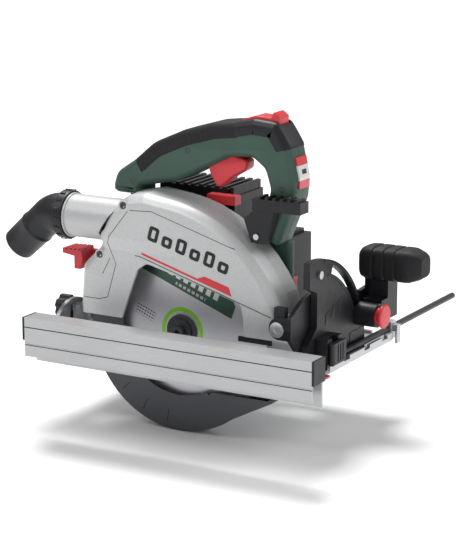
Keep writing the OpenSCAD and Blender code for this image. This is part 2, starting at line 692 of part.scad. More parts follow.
// ---------- handle ----------
module handle_shape() difference() {
    polygon(handle_outline);
    polygon(handle_loop);
}
module grip_zone() intersection() {
    difference() {
        polygon(handle_outline);
        polygon(inset(handle_outline, grip_t));
    }
    translate([-75, 195]) square([118, 60]);
}
module cap_zone() intersection() {
    difference() {
        polygon(handle_outline);
        polygon(inset(handle_outline, cap_t));
    }
    translate([43, 216]) square([80, 60]);
}
trigger_shape = lift([[18, 152], [26, 139], [33, 141], [46, 151], [61, 160], [62, 172],
    [44, 177], [14, 168]], arbor_h);
lock_shape = lift([[56, 205], [56, 212], [72, 217], [88, 216], [90, 222], [97, 217], [97, 205]], arbor_h);
module handle_cuts() {
    slab_y(0, guard_left + 0.6) polygon(inset(guard_outline, -0.4));
    // room for the trigger, the switch and the lock-off button
    slab_y(handle_mid - 9, handle_mid + 9)
        polygon(lift([[8, 150], [66, 160], [68, 190], [66, 197], [2, 188]], arbor_h));
    slab_y(handle_mid - 10.5, handle_mid + 10.5)
        polygon(lift([[54, 196], [99, 196], [99, 225], [54, 225]], arbor_h));
    for (p = handle_screw_points) round_y(p, 1.8, handle_y0 - 1, handle_y1 + 1);
}
handle_screw_points = lift([[-64, 142], [0, 178], [104, 150]], arbor_h);
module handle_right() color("#33503f") cut_frame() difference() {
    union() {
        slab_y(handle_y0, handle_mid) difference() {
            handle_shape();
            grip_zone();
            cap_zone();
        }
        // pin of the guard lever
        round_y(lever_pivot, 3, -8, handle_y0 + 1);
    }
    handle_cuts();
    for (p = handle_screw_points) round_y(p, 3.4, handle_y0 - 1, handle_y0 + 3);
}
module handle_left() color("#33503f") cut_frame() difference() {
    union() {
        slab_y(handle_mid, handle_y1) difference() {
            handle_shape();
            grip_zone();
            cap_zone();
        }
        slab_y(strut_y1 + 3, handle_y1) {
            polygon([[-86, 158], [-52, 158], [-30, 84], [-46, 84]]);
            polygon([[22, 70], [100, 60], [100, 123], [66, 135], [50, 98], [22, 98]]);
        }
    }
    handle_cuts();
    round_y(motor_axis, adapter_r, 20, motor_y + 1);
}
module soft_grip() color("#1f2024") cut_frame() difference() {
    slab_y(handle_y0, handle_y1) grip_zone();
    for (x = [-58, -40, -22, -4]) translate([x, handle_y0 - 1, arbor_h + 190 + x * 0.36])
        rotate([0, 30, 0]) cube([1.5, handle_w + 2, 14], center = false);
}
module handle_top_cover() color("#1f2024") cut_frame() difference() {
    slab_y(handle_y0, handle_y1) cap_zone();
    slab_y(handle_mid - 10.5, handle_mid + 10.5)
        polygon(lift([[54, 196], [99, 196], [99, 225], [54, 225]], arbor_h));
}
module handle_screws() color("#2a2b2f") cut_frame() for (p = handle_screw_points) {
    round_y(p, 3.2, handle_y0 + 0.8, handle_y0 + 3);
    round_y(p, 1.7, handle_y0 + 1, handle_y1 - 4);
}
module lock_off_button() color("#d5383f") cut_frame()
    slab_y(handle_mid - 10, handle_mid + 10) polygon(lock_shape);
module trigger() color("#d5383f") cut_frame()
    slab_y(handle_mid - 8.5, handle_mid + 8.5) polygon(trigger_shape);
module trigger_switch() color("#202124") cut_frame()
    slab_y(handle_mid - 8.7, handle_mid + 8.7)
        polygon(lift([[16, 181], [64, 187.5], [64, 195], [12, 189]], arbor_h));
module spindle_lock() color("#d5383f") cut_frame() {
    block(8, 40, handle_y1 - 12.8, handle_y1 - 1, 152, 161);
    block(14, 24, handle_y1 - 10, handle_y1 - 4, 112, 153);
}
module depth_lever() color("#d5383f") cut_frame() difference() {
    union() {
        round_y([strut_bolt_x, strut_bolt_z], 9, strut_y1 + 1, strut_y1 + 7);
        slab_y(strut_y1 + 2, strut_y1 + 7) polygon([[-62, 58], [-69, 42], [-132, 76], [-132, 90],
            [-124, 90]]);
        slab_y(12, strut_y1 + 5) polygon([[-150, 88], [-150, 93], [-128, 94], [-126, 84],
            [-129, 73], [-136, 73], [-136, 86]]);
    }
    round_y([strut_bolt_x, strut_bolt_z], strut_bolt_r + run_gap, strut_y0, strut_y1 + 9);
    for (x = [-146:5:-131]) block(x, x + 2, 0, 40, 92, 96);
}
module column_badge() color("#e8e8ea") cut_frame()
    slab_y(handle_mid - 10, handle_mid + 10)
        polygon(lift([[117.5, 150], [119.4, 150], [119.6, 161], [115.6, 180], [113.5, 180],
            [118, 160]], arbor_h));

// ---------- battery ----------
module battery_foot() color("#232428") cut_frame() difference() {
    block(44, 84, handle_y1, battery_y0 - slide_gap, 50, 124);
    for (x = [48, 72]) block(x, x + 6, battery_y0 - 4, battery_y0, 49, 125);
}
module battery_pack() color("#232428") cut_frame() difference() {
    union() {
        block(battery_x0, battery_x1, battery_y0, battery_y0 + battery_w, battery_z0 + 8,
            battery_z0 + battery_h - 4);
        block(battery_x0 + 6, battery_x1 - 6, battery_y0 + 4, battery_y0 + battery_w - 4,
            battery_z0, battery_z0 + battery_h);
        for (x = [49, 73]) block(x, x + 4, battery_y0 - 3, battery_y0 + 1, 62, 108);
    }
    block(battery_x1 - 7, battery_x1 + 1, battery_y0 + 8, battery_y0 + 26, 59, 79);
}
module battery_latch() color("#d5383f") cut_frame()
    block(battery_x1 - 3, battery_x1 + 1, battery_y0 + 8.5, battery_y0 + 25.5, 59.5, 78.5);

// ---------- parallel guide ----------
module guide_fence() color("#c9cbce") cut_frame() {
    difference() {
        block(fence_back, fence_back + fence_l, fence_out, fence_in, fence_z + 16, fence_z + fence_h);
        block(fence_back - 1, fence_back + fence_l + 1, fence_out + 2, fence_in - 2,
            fence_z + 18, fence_z + fence_h - 2);
    }
    difference() {
        block(fence_back, fence_back + fence_l, fence_out, fence_out + 2.5, fence_z, fence_z + 16.5);
        block(fence_back - 1, fence_back + fence_l + 1, fence_out - 1, fence_out + 0.4,
            fence_z + 12.5, fence_z + 13.3);
    }
    // inner support foot, flush with the sole, and the rod's socket
    block(fence_back, fence_back + fence_l, fence_in - 2.5, fence_in, 0, fence_z + 16.5);
    difference() {
        block(rod_x - 9, rod_x + 9, fence_in - 12, fence_in - 2.4, rod_z - 7, fence_z + 16.2);
        round_y([rod_x, rod_z], rod_r, fence_in - 11, fence_in);
    }
}
module fence_end_caps() color("#1f2024") cut_frame()
    for (s = [0, 1]) translate([fence_back + s * (fence_l + 2.5) - 2.5, 0, 0]) {
        block(0, 2.5, fence_out, fence_in, fence_z + 16, fence_z + fence_h);
    }
module guide_rod() color("#6a6d72") cut_frame()
    round_y([rod_x, rod_z], rod_r, fence_in, fence_in + rod_l);

base_plate();
bevel_quadrant();
rear_bevel_bracket();
bevel_pins();
base_screws();
rod_clamp_block();
rod_clamp_lever();
cut_sight();
rod_guide();
front_tilt_plate();
rear_tilt_bracket();
tilt_rail();
depth_strut();
pivot_bolt();
front_handle_bracket();
front_handle();
bevel_release_button();
rear_bevel_knob();
guard_cover();
gear_case();
guard_screws();
chip_strip();
dust_nozzle();
lower_guard();
guard_spring();
guard_lever();
blade();
spindle();
inner_flange();
outer_flange();
blade_bolt();
spindle_gear();
spindle_bearings();
motor_shaft();
rotor_core();
motor_fan();
motor_bearings();
stator();
motor_housing();
motor_end_cap();
electronics_cover();
control_board();
handle_right();
handle_left();
soft_grip();
handle_top_cover();
handle_screws();
lock_off_button();
trigger();
trigger_switch();
spindle_lock();
depth_lever();
battery_foot();
battery_pack();
battery_latch();
guide_fence();
fence_end_caps();
guide_rod();
column_badge();
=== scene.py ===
# Cordless circular saw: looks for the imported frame.
# Outlines are in millimetres from the spindle: X forward, Z up; Y is measured from the blade plane.
import math
import bpy
import bmesh
from mathutils import Matrix, Vector, geometry


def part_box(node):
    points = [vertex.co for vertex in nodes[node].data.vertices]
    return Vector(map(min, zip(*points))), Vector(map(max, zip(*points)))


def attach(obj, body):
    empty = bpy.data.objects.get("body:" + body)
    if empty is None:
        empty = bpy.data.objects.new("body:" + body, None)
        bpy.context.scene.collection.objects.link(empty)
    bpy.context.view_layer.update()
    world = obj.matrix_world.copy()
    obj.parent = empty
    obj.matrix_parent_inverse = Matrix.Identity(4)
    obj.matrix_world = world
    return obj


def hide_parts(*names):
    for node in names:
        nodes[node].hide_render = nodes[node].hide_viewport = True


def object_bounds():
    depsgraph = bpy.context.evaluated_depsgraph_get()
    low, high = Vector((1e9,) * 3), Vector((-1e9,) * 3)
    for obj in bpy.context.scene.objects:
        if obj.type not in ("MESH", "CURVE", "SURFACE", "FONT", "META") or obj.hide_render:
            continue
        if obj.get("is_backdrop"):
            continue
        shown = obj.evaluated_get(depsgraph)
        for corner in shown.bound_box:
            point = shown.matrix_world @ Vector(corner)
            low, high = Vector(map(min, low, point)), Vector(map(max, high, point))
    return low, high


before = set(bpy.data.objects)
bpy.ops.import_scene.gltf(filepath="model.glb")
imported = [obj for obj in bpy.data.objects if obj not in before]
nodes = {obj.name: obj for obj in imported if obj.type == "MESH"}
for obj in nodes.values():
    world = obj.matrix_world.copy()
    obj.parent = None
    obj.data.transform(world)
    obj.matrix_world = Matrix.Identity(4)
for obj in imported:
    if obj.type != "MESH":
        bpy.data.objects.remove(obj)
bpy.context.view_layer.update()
MM = 0.001


def centre_of(node):
    low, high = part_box(node)
    return (low + high) / 2


SPINDLE = centre_of("blade")
SOLE = SPINDLE.z / MM                    # spindle height above the sole
DUCT_Z = 103                             # centre of the dust duct above the spindle
NECK_R = 21.5                            # outside of the dust neck
OUTLET_R = 15                            # bore of the dust outlet
LEG = 57                                 # length of the dust elbow's leg
SCREWS = {"top": (-53, 124), "rear": (-81, 72)}      # guard screws, X and Z
HANDLE_SCREWS = [(-64, 142), (0, 178), (104, 150)]
LEVER_PIN = (86, 105)                    # pivot of the guard lever, X and Z


def at(x, y, z):
    return SPINDLE + Vector((x, y, z)) * MM


def mm_box(node):
    """A node's corners in millimetres from the spindle."""
    low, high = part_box(node)
    return (low - SPINDLE) / MM, (high - SPINDLE) / MM


# ---------------------------------------------------------------- materials
class Value:
    """A socket of a node tree that can be used in sums."""

    def __init__(self, tree, socket):
        self.tree, self.socket = tree, socket

    def op(self, kind, other=None, third=None):
        n = self.tree.nodes.new("ShaderNodeMath")
        n.operation = kind
        for i, v in enumerate((self, other, third)):
            if v is None:
                continue
            if isinstance(v, Value):
                self.tree.links.new(v.socket, n.inputs[i])
            else:
                n.inputs[i].default_value = v
        return Value(self.tree, n.outputs[0])

    def __add__(self, o): return self.op("ADD", o)
    def __sub__(self, o): return self.op("SUBTRACT", o)
    def __mul__(self, o): return self.op("MULTIPLY", o)
    def __gt__(self, o): return self.op("GREATER_THAN", o)
    def __lt__(self, o): return self.op("LESS_THAN", o)
    def or_(self, o): return self.op("MAXIMUM", o)
    def between(self, a, b): return (self > a) * (self < b)
    def frac(self): return self.op("FRACT")
    def power(self, o): return self.op("POWER", o)


class Paint:
    """A Principled material built up from noise, masks and bump."""

    def __init__(self, name, colour, rough=0.5, metal=0.0, coat=0.0, specular=0.5):
        self.m = bpy.data.materials.new(name)
        self.m.use_nodes = True
        self.tree = self.m.node_tree
        self.shader = self.tree.nodes["Principled BSDF"]
        self.shader.inputs["Metallic"].default_value = metal
        self.shader.inputs["Specular IOR Level"].default_value = specular
        if coat:
            self.shader.inputs["Coat Weight"].default_value = coat
            self.shader.inputs["Coat Roughness"].default_value = 0.2
        self.place = self.tree.nodes.new("ShaderNodeTexCoord").outputs["Object"]
        rgb = self.tree.nodes.new("ShaderNodeRGB")
        rgb.outputs[0].default_value = (*colour, 1)
        self.colour = rgb.outputs[0]
        self.rough = None
        self.base_rough = rough
        self.bumps = None

    def noise(self, scale, stretch=(1, 1, 1), detail=2.0, where=None):
        t = self.tree
        mp = t.nodes.new("ShaderNodeMapping")
        mp.inputs["Scale"].default_value = stretch
        t.links.new(where or self.place, mp.inputs["Vector"])
        n = t.nodes.new("ShaderNodeTexNoise")
        n.inputs["Scale"].default_value = scale
        n.inputs["Detail"].default_value = detail
        t.links.new(mp.outputs[0], n.inputs["Vector"])
        return Value(t, n.outputs["Fac"])

    def xyz(self):
        s = self.tree.nodes.new("ShaderNodeSeparateXYZ")
        self.tree.links.new(self.place, s.inputs[0])
        out = []
        for i, c in enumerate(SPINDLE):
            v = Value(self.tree, s.outputs[i])
            out.append((v - c) * (1 / MM))
        return out

    def blend(self, mask, colour, rough=None):
        n = self.tree.nodes.new("ShaderNodeMix")
        n.data_type = "RGBA"
        if isinstance(mask, Value):
            self.tree.links.new(mask.socket, n.inputs["Factor"])
        else:
            n.inputs["Factor"].default_value = mask
        self.tree.links.new(self.colour, n.inputs[6])
        n.inputs[7].default_value = (*colour, 1)
        self.colour = n.outputs[2]
        return self

    def vary(self, value, dark, light):
        """Multiplies the colour between two strengths along a value."""
        f = value * (light - dark) + dark
        n = self.tree.nodes.new("ShaderNodeVectorMath")
        n.operation = "SCALE"
        self.tree.links.new(self.colour, n.inputs[0])
        self.tree.links.new(f.socket, n.inputs["Scale"])
        self.colour = n.outputs[0]
        return self

    def roughen(self, value, low, high):
        self.rough = value * (high - low) + low
        return self

    def bump(self, value, height, strength=1.0):
        n = self.tree.nodes.new("ShaderNodeBump")
        n.inputs["Strength"].default_value = strength
        n.inputs["Distance"].default_value = height
        self.tree.links.new(value.socket, n.inputs["Height"])
        if self.bumps:
            self.tree.links.new(self.bumps, n.inputs["Normal"])
        self.bumps = n.outputs[0]
        return self

    def done(self):
        t = self.tree
        t.links.new(self.colour, self.shader.inputs["Base Color"])
        if self.rough:
            t.links.new(self.rough.socket, self.shader.inputs["Roughness"])
        else:
            self.shader.inputs["Roughness"].default_value = self.base_rough
        if self.bumps:
            t.links.new(self.bumps, self.shader.inputs["Normal"])
        return self.m


def moulded(name, colour, rough=0.5, grain=900, height=0.00008, coat=0.0):
    """Injection-moulded plastic: fine spark-eroded grain, faint cloudiness."""
    p = Paint(name, colour, coat=coat, specular=0.32)
    p.vary(p.noise(28, detail=3), 0.82, 1.18)
    p.roughen(p.noise(160, detail=3), rough - 0.08, rough + 0.1)
    return p.bump(p.noise(grain, detail=2), height, 0.5)


def metal(name, colour, rough, streak=(1, 1, 1), scale=400, height=0.00004, metallic=1.0):
    p = Paint(name, colour, metal=metallic)
    fine = p.noise(scale, streak, detail=3)
    p.vary(fine, 0.88, 1.1).vary(p.noise(22, detail=2), 0.93, 1.06)
    p.roughen(p.noise(scale * 0.7, streak, detail=3), rough - 0.07, rough + 0.12)
    return p.bump(fine, height, 0.45)


def cast_paint(name, tone):
    """Silver-painted sand casting, with the grain of the mould."""
    p = Paint(name, tone, metal=0.35, specular=0.5)
    p.vary(p.noise(1300, detail=3), 0.72, 1.28).vary(p.noise(14, detail=3), 0.94, 1.05)
    p.roughen(p.noise(500, detail=2), 0.36, 0.6)
    return p.bump(p.noise(850, detail=3), 0.00018, 0.55)


def straight_line(x, z, a, b, half):
    """Mask of a straight line from a to b on the X-Z face."""
    d = Vector((b[0] - a[0], b[1] - a[1]))
    length = d.length
    d.normalize()
    along = (x - a[0]) * d.x + (z - a[1]) * d.y
    off = ((x - a[0]) * d.y - (z - a[1]) * d.x).op("ABSOLUTE")
    return along.between(0, length) * (off < half)


DARK_INK = (0.012, 0.012, 0.014)
RED = (0.60, 0.035, 0.045)

guard_p = cast_paint("guard_cast", (0.52, 0.525, 0.53))
gx, gy, gz = guard_p.xyz()
on_face = gy < -22.5
# painted shade: the recesses of the cover's face are drawn as thin near-black strokes in its colour
recess = [[(-46, 120), (-21, 121.5), (22, 109), (87, 90)],
          [(-48, 119), (-70.6, 91), (-71.5, 85), (-62.2, 64.5), (-72.4, 30), (-82, 27), (-104, 27)],
          [(-69, 70), (-78, 53)]]
recess_shade_mask = None
for path in recess:
    for a, b in zip(path, path[1:]):
        one = straight_line(gx, gz, a, b, 0.35)
        recess_shade_mask = one if recess_shade_mask is None else recess_shade_mask.or_(one)
guard_p.blend(recess_shade_mask * on_face, (0.03, 0.03, 0.03))
grey_line = straight_line(gx, gz, (-40, 75.5), (-34, 75.5), 0.5)
grey_line = grey_line.or_(straight_line(gx, gz, (-35, 75.5), (112, 32.5), 0.55))
guard_p.blend(grey_line * on_face, (0.10, 0.10, 0.105))
CAST = guard_p.done()
CASE = cast_paint("gear_case_cast", (0.46, 0.465, 0.47)).done()
SHEET = metal("brushed_sheet", (0.50, 0.51, 0.52), 0.34, (1, 26, 26), 60, 0.00003, 0.75).done()
ZINC = metal("zinc_plate", (0.50, 0.51, 0.53), 0.33, (1, 1, 1), 260).done()
STEEL = metal("machined_steel", (0.46, 0.47, 0.49), 0.3, (1, 9, 1), 220).done()
CHROME = metal("chrome_screw", (0.80, 0.81, 0.83), 0.17, (1, 1, 1), 500, 0.00001).done()
DARK_METAL = metal("black_oxide", (0.055, 0.056, 0.062), 0.42, (1, 1, 1), 500, metallic=0.5).done()
BLACK = moulded("black_plastic", (0.011, 0.0115, 0.014), 0.42).done()
BLACK_CAST = moulded("black_cast", (0.013, 0.0135, 0.016), 0.42, 1200, 0.00012).done()
SOFT = moulded("soft_touch", (0.009, 0.009, 0.011), 0.62, 1500, 0.0001).done()
GREEN = moulded("green_plastic", (0.040, 0.082, 0.063), 0.40).done()
RED_PLASTIC = moulded("red_plastic", RED, 0.38, 700, 0.00005, coat=0.15).done()
COPPER = metal("winding_copper", (0.55, 0.26, 0.12), 0.35, (1, 1, 8), 300).done()
BOARD = moulded("circuit_board", (0.02, 0.10, 0.05), 0.4).done()
badge_p = moulded("badge", (0.62, 0.63, 0.64), 0.3, coat=0.4)
_, badge_y, badge_z = badge_p.xyz()
badge_p.blend(badge_z.between(150, 158).or_(badge_z.between(172, 181)), RED)
badge_p.blend(badge_z.between(163.5, 168) * (badge_y > 24) * (badge_y < 33), DARK_INK)
BADGE = badge_p.done()
GRAPHITE = moulded("graphite_decal", DARK_INK, 0.45, 2000, 0.00002).done()

# fence: two engraved grooves run its length, coloured near-black as painted shade in the grooves
fence_p = metal("fence_extrusion", (0.43, 0.435, 0.44), 0.36, (1, 30, 30), 55, 0.00004, 0.6)
fence_p.vary(fence_p.noise(900, detail=3), 0.86, 1.14)
_, fy, fz = fence_p.xyz()
groove_shade_mask = fz.between(8.7, 9.8).or_(fz.between(-8.9, -8.0)) * (fy < -94)
fence_p.blend(groove_shade_mask, (0.035, 0.035, 0.035))
FENCE = fence_p.done()

# blade: ground rings, a green band above, a bright ring round the flange, small print
blade_p = Paint("blade_steel", (0.60, 0.60, 0.64), metal=0.75)
bx, by, bz = blade_p.xyz()
radius = (bx * bx + bz * bz).power(0.5)
ring_noise = blade_p.tree.nodes.new("ShaderNodeTexNoise")
ring_noise.noise_dimensions = "1D"
ring_noise.inputs["Scale"].default_value = 2.2
ring_noise.inputs["Detail"].default_value = 5
blade_p.tree.links.new(radius.socket, ring_noise.inputs["W"])
rings = Value(blade_p.tree, ring_noise.outputs["Fac"])
blade_p.vary(rings, 0.82, 1.12).vary(blade_p.noise(30, detail=3), 0.9, 1.05)
blade_p.roughen(rings, 0.24, 0.46)
# axes along and across the label band
turn = math.radians(-21)
along = bx * math.cos(turn) + bz * math.sin(turn)
across = bz * math.cos(turn) - bx * math.sin(turn)
band = across.between(37.5, 58.5) * along.between(-64, 45) * (by < 0)
blade_p.blend(band * ((along + across) < 96), (0.055, 0.105, 0.080))
marks = (along * (1 / 9.0)).frac().between(0.12, 0.72) * along.between(-36, 26)
blade_p.blend(marks * across.between(46.5, 54.5) * band, (0.62, 0.63, 0.62))
small = (along * (1 / 5.2)).frac().between(0.15, 0.8) * along.between(-24, 12)
blade_p.blend(small * across.between(40, 43) * band, (0.45, 0.47, 0.45))
blade_p.blend(radius.between(19.2, 23.6) * (by < 0), (0.27, 0.62, 0.05))
print_rows = (across * (1 / 3.2)).frac().between(0.25, 0.65) * across.between(-8, 3)
print_marks = (along * (1 / 3.1)).frac().between(0.1, 0.75) * along.between(-56, -33)
blade_p.blend(print_rows * print_marks * (by < 0), DARK_INK)
blade_p.bump(rings, 0.00002, 0.3)
BLADE = blade_p.done()

# lower guard: satin dark grey with tick marks near the rim
sweep_p = metal("lower_guard_paint", (0.070, 0.072, 0.080), 0.40, (1, 1, 1), 500, metallic=0.45)
sx, sy, sz = sweep_p.xyz()
sr = (sx * sx + sz * sz).power(0.5)
sa = sz.op("ARCTAN2", sx) * (180 / math.pi)
ticks = None
for angle in (-134, -116, -98):
    one = sa.between(angle - 0.25, angle + 0.25) * sr.between(81, 94)
    ticks = one if ticks is None else ticks.or_(one)
sweep_p.blend(ticks * (sy < -9), (0.006, 0.006, 0.007))
SWEEP = sweep_p.done()

# soft grip: slanting ribs on its sides; the grooves between them are darkened with painted shade
ribs_p = moulded("ribbed_grip", (0.009, 0.009, 0.011), 0.6, 1500, 0.0001)
rx, _, rz = ribs_p.xyz()
slant = ((rx * 0.8 + rz * 0.25) * (1 / 4.2)).frac()
patch = rx.between(-70, 30)
groove = slant.between(0.0, 0.28) * patch
ribs_p.bump(groove * -1.0, 0.0009, 0.9)
# painted shade: the colour darkens in the grooves between the ribs
ribs_p.blend(groove * 0.7, (0.006, 0.006, 0.007))
RIBS = ribs_p.done()


# ---------------------------------------------------------------- mesh tools
def make(name, verts, faces, material, body, *stands_for, slot=None, smooth=40):
    mesh = bpy.data.meshes.new(name)
    mesh.from_pydata([tuple(v) for v in verts], [], faces)
    mesh.validate()
    bm = bmesh.new()
    bm.from_mesh(mesh)
    bmesh.ops.remove_doubles(bm, verts=bm.verts, dist=1e-6)
    bmesh.ops.recalc_face_normals(bm, faces=bm.faces)
    bm.to_mesh(mesh)
    bm.free()
    obj = bpy.data.objects.new(name, mesh)
    bpy.context.scene.collection.objects.link(obj)
    mesh.materials.append(material)
    shade(obj, smooth)
    if body:
        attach(obj, body)
    if stands_for:
        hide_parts(*stands_for)
    return obj


def shade(obj, angle):
    mesh = obj.data
    mesh.polygons.foreach_set("use_smooth", [True] * len(mesh.polygons))
    limit = math.radians(angle)
    bm = bmesh.new()
    bm.from_mesh(mesh)
    for e in bm.edges:
        e.smooth = len(e.link_faces) == 2 and e.calc_face_angle(0) < limit
    bm.to_mesh(mesh)
    bm.free()


def fillet(points, radius=4.0, steps=4):
    """Rounds each corner of a closed outline; a point may carry its own radius."""
    out = []
    n = len(points)
    for i, p in enumerate(points):
        r = p[2] if len(p) > 2 else radius
        b = Vector(p[:2])
        a, c = Vector(points[i - 1][:2]), Vector(points[(i + 1) % n][:2])
        u, v = (a - b), (c - b)
        lu, lv = u.length, v.length
        u.normalize()
        v.normalize()
        half = math.acos(max(-1, min(1, u.dot(v)))) / 2
        if r <= 0 or half > math.radians(88):
            out.append(b)
            continue
        cut = min(r / math.tan(half), 0.45 * lu, 0.45 * lv)
        p0, p1 = b + u * cut, b + v * cut
        for k in range(steps + 1):
            t = k / steps
            out.append(p0 * (1 - t) ** 2 + b * 2 * t * (1 - t) + p1 * t ** 2)
    return out


def inset(loop, d):
    """A counter-clockwise loop moved inwards by d (a clockwise hole grows)."""
    out = []
    n = len(loop)
    for i in range(n):
        a, b, c = Vector(loop[i - 1]), Vector(loop[i]), Vector(loop[(i + 1) % n])
        u, v = (b - a).normalized(), (c - b).normalized()
        m, k = Vector((-u.y, u.x)), Vector((-v.y, v.x))
        out.append(b + (m + k) / max(1 + m.dot(k), 0.3) * d)
    return out


def area(loop):
    return sum(a[0] * b[1] - b[0] * a[1] for a, b in zip(loop, loop[1:] + loop[:1])) / 2


def facing(loop, ccw=True):
    loop = [Vector(p) for p in loop]
    return loop if (area(loop) > 0) == ccw else loop[::-1]


def along_y(u, v, w):
    return at(u, w, v)


def along_x(u, v, w):
    return at(w, u, v)


def slab(name, outer, w0, w1, material, body, *stands_for, holes=(), edge=1.0, back=None,
         groove=None, steps=3, put=along_y, slot=None):
    """A plate with rounded edges. edge and back are the radii at w0 and w1."""
    back = edge if back is None else back
    loops = [facing(outer)] + [facing(h, False) for h in holes]
    layers = []
    for k in range(steps + 1):
        a = math.pi / 2 * k / steps
        layers.append((w0 + edge * (1 - math.cos(a)), edge * (1 - math.sin(a))))
    if groove:
        g, deep = groove
        layers += [(g - deep, 0), (g, deep), (g + deep, 0)]
    for k in range(steps, -1, -1):
        a = math.pi / 2 * k / steps
        layers.append((w1 - back * (1 - math.cos(a)), back * (1 - math.sin(a))))
    verts, faces, caps = [], [], {0: [], len(layers) - 1: []}
    for loop in loops:
        n = len(loop)
        first = len(verts)
        for j, (w, d) in enumerate(layers):
            ring = inset(loop, d)
            verts += [put(p[0], p[1], w) for p in ring]
            if j in caps:
                caps[j].append((ring, first + j * n))
        for j in range(len(layers) - 1):
            for i in range(n):
                q = (i + 1) % n
                a, b = first + j * n, first + (j + 1) * n
                faces.append((a + i, a + q, b + q, b + i))
    for rings in caps.values():
        index = [s + i for ring, s in rings for i in range(len(ring))]
        flat = [[Vector((p[0], p[1], 0)) for p in ring] for ring, _ in rings]
        faces += [tuple(index[k] for k in t) for t in geometry.tessellate_polygon(flat)]
    return make(name, verts, faces, material, body, *stands_for, slot=slot)


def turned(name, centre, axis, rings, material, body, *stands_for, n=48, slot=None, smooth=35):
    """A turned piece: rings are (radius or function of the angle, distance along the axis)."""
    axis = Vector(axis).normalized()
    side = axis.orthogonal().normalized()
    up = axis.cross(side)
    verts, faces = [], []
    for r, t in rings:
        for i in range(n):
            a = 2 * math.pi * i / n
            rr = (r(a) if callable(r) else r) * MM
            verts.append(centre + axis * t * MM + (side * math.cos(a) + up * math.sin(a)) * rr)
    for j in range(len(rings) - 1):
        for i in range(n):
            q = (i + 1) % n
            faces.append((j * n + i, j * n + q, (j + 1) * n + q, (j + 1) * n + i))
    for j in (0, len(rings) - 1):
        verts.append(centre + axis * rings[j][1] * MM)
        faces += [(j * n + i, j * n + (i + 1) % n, len(verts) - 1) for i in range(n)]
    return make(name, verts, faces, material, body, *stands_for, slot=slot, smooth=smooth)


def socket_screw(name, centre, axis, r, h, material, body, *stands_for, deep=0.55):
    """A cap screw with a chamfered head and a six-lobed recess."""
    def star(a):
        return r * 0.5 * (1 + 0.16 * math.cos(6 * a))
    turned(name, centre, axis,
           [(r, 0), (r, h * 0.75), (r * 0.9, h), (r * 0.62, h), (star, h), (star, h * (1 - deep))],
           material, body, *stands_for, slot=None)


def loft(name, rings, material, body, *stands_for, slot=None, smooth=40):
    n = len(rings[0])
    verts = [v for ring in rings for v in ring]
    faces = []
    for j in range(len(rings) - 1):
        for i in range(n):
            q = (i + 1) % n
            faces.append((j * n + i, j * n + q, (j + 1) * n + q, (j + 1) * n + i))
    faces.append(tuple(range(n)))
    faces.append(tuple((len(rings) - 1) * n + i for i in range(n)))
    return make(name, verts, faces, material, body, *stands_for, slot=slot, smooth=smooth)


def cut(obj, *tools):
    """Cuts closed tool meshes out of obj for good, and removes the tools."""
    for tool in tools:
        mod = obj.modifiers.new("cut", "BOOLEAN")
        mod.object = tool
        mod.solver = "EXACT"
    graph = bpy.context.evaluated_depsgraph_get()
    bpy.context.view_layer.update()
    mesh = bpy.data.meshes.new_from_object(obj.evaluated_get(graph))
    obj.modifiers.clear()
    obj.data = mesh
    for tool in tools:
        bpy.data.objects.remove(tool)
    shade(obj, 40)
    return obj


def dress(node, material, bevel=0.0, segments=2, angle=32):
    """A CAD node keeps its mesh, and gets a material and softened edges."""
    obj = nodes[node]
    obj.data.materials.clear()
    obj.data.materials.append(material)
    if bevel:
        b = obj.modifiers.new("edges", "BEVEL")
        b.width = bevel * MM
        b.segments = segments
        b.limit_method = "ANGLE"
        b.angle_limit = math.radians(angle)
        b.harden_normals = False
        b.use_clamp_overlap = True
        w = obj.modifiers.new("normals", "WEIGHTED_NORMAL")
        w.keep_sharp = True


# ---------------------------------------------------------------- carried-over nodes
FINISH = {
    SHEET: {"base_plate": 0.8, "rod_guide": 0.6},
    STEEL: {"rear_bevel_bracket": 0.5, "bevel_pins": 0.4, "guard_spring": 0.2, "spindle": 0.2,
            "inner_flange": 0.4, "spindle_gear": 0.15, "spindle_bearings": 0.2, "motor_shaft": 0,
            "rotor_core": 0.3, "motor_bearings": 0.2},
    ZINC: {"base_screws": 0.4, "rear_tilt_bracket": 0.4, "tilt_rail": 0.5, "depth_strut": 0.4},
    DARK_METAL: {"guide_rod": 0.6, "outer_flange": 0.7, "blade_bolt": 0.4, "guard_screws": 0.3,
                 "handle_screws": 0.3},
    BLACK_CAST: {"bevel_quadrant": 1.0, "front_tilt_plate": 0.8},
    BLACK: {"rod_clamp_block": 1.2, "rod_clamp_lever": 0.6, "chip_strip": 0.4,
            "front_handle_bracket": 1.5, "rear_bevel_knob": 1.2, "guard_lever": 1.5,
            "motor_fan": 0.3, "motor_end_cap": 1.5, "electronics_cover": 2.0,
            "trigger_switch": 0.5, "battery_foot": 1.0, "battery_pack": 3.0, "fence_end_caps": 0.8},
    RED_PLASTIC: {"cut_sight": 0.4, "spindle_lock": 1.0, "depth_lever": 0.9, "battery_latch": 0.8},
    CASE: {"gear_case": 0.8},
    CHROME: {"pivot_bolt": 0.6},
    BLADE: {"blade": 0.15},
    SWEEP: {"lower_guard": 0.25},
    FENCE: {"guide_fence": 0.8},
    GREEN: {"motor_housing": 1.2},
    COPPER: {"stator": 0.3},
    BOARD: {"control_board": 0.2},
    BADGE: {"column_badge": 0.3},
}
for finish, members in FINISH.items():
    for node, bevel in members.items():
        dress(node, finish, bevel, 3 if bevel >= 1.5 else 2)

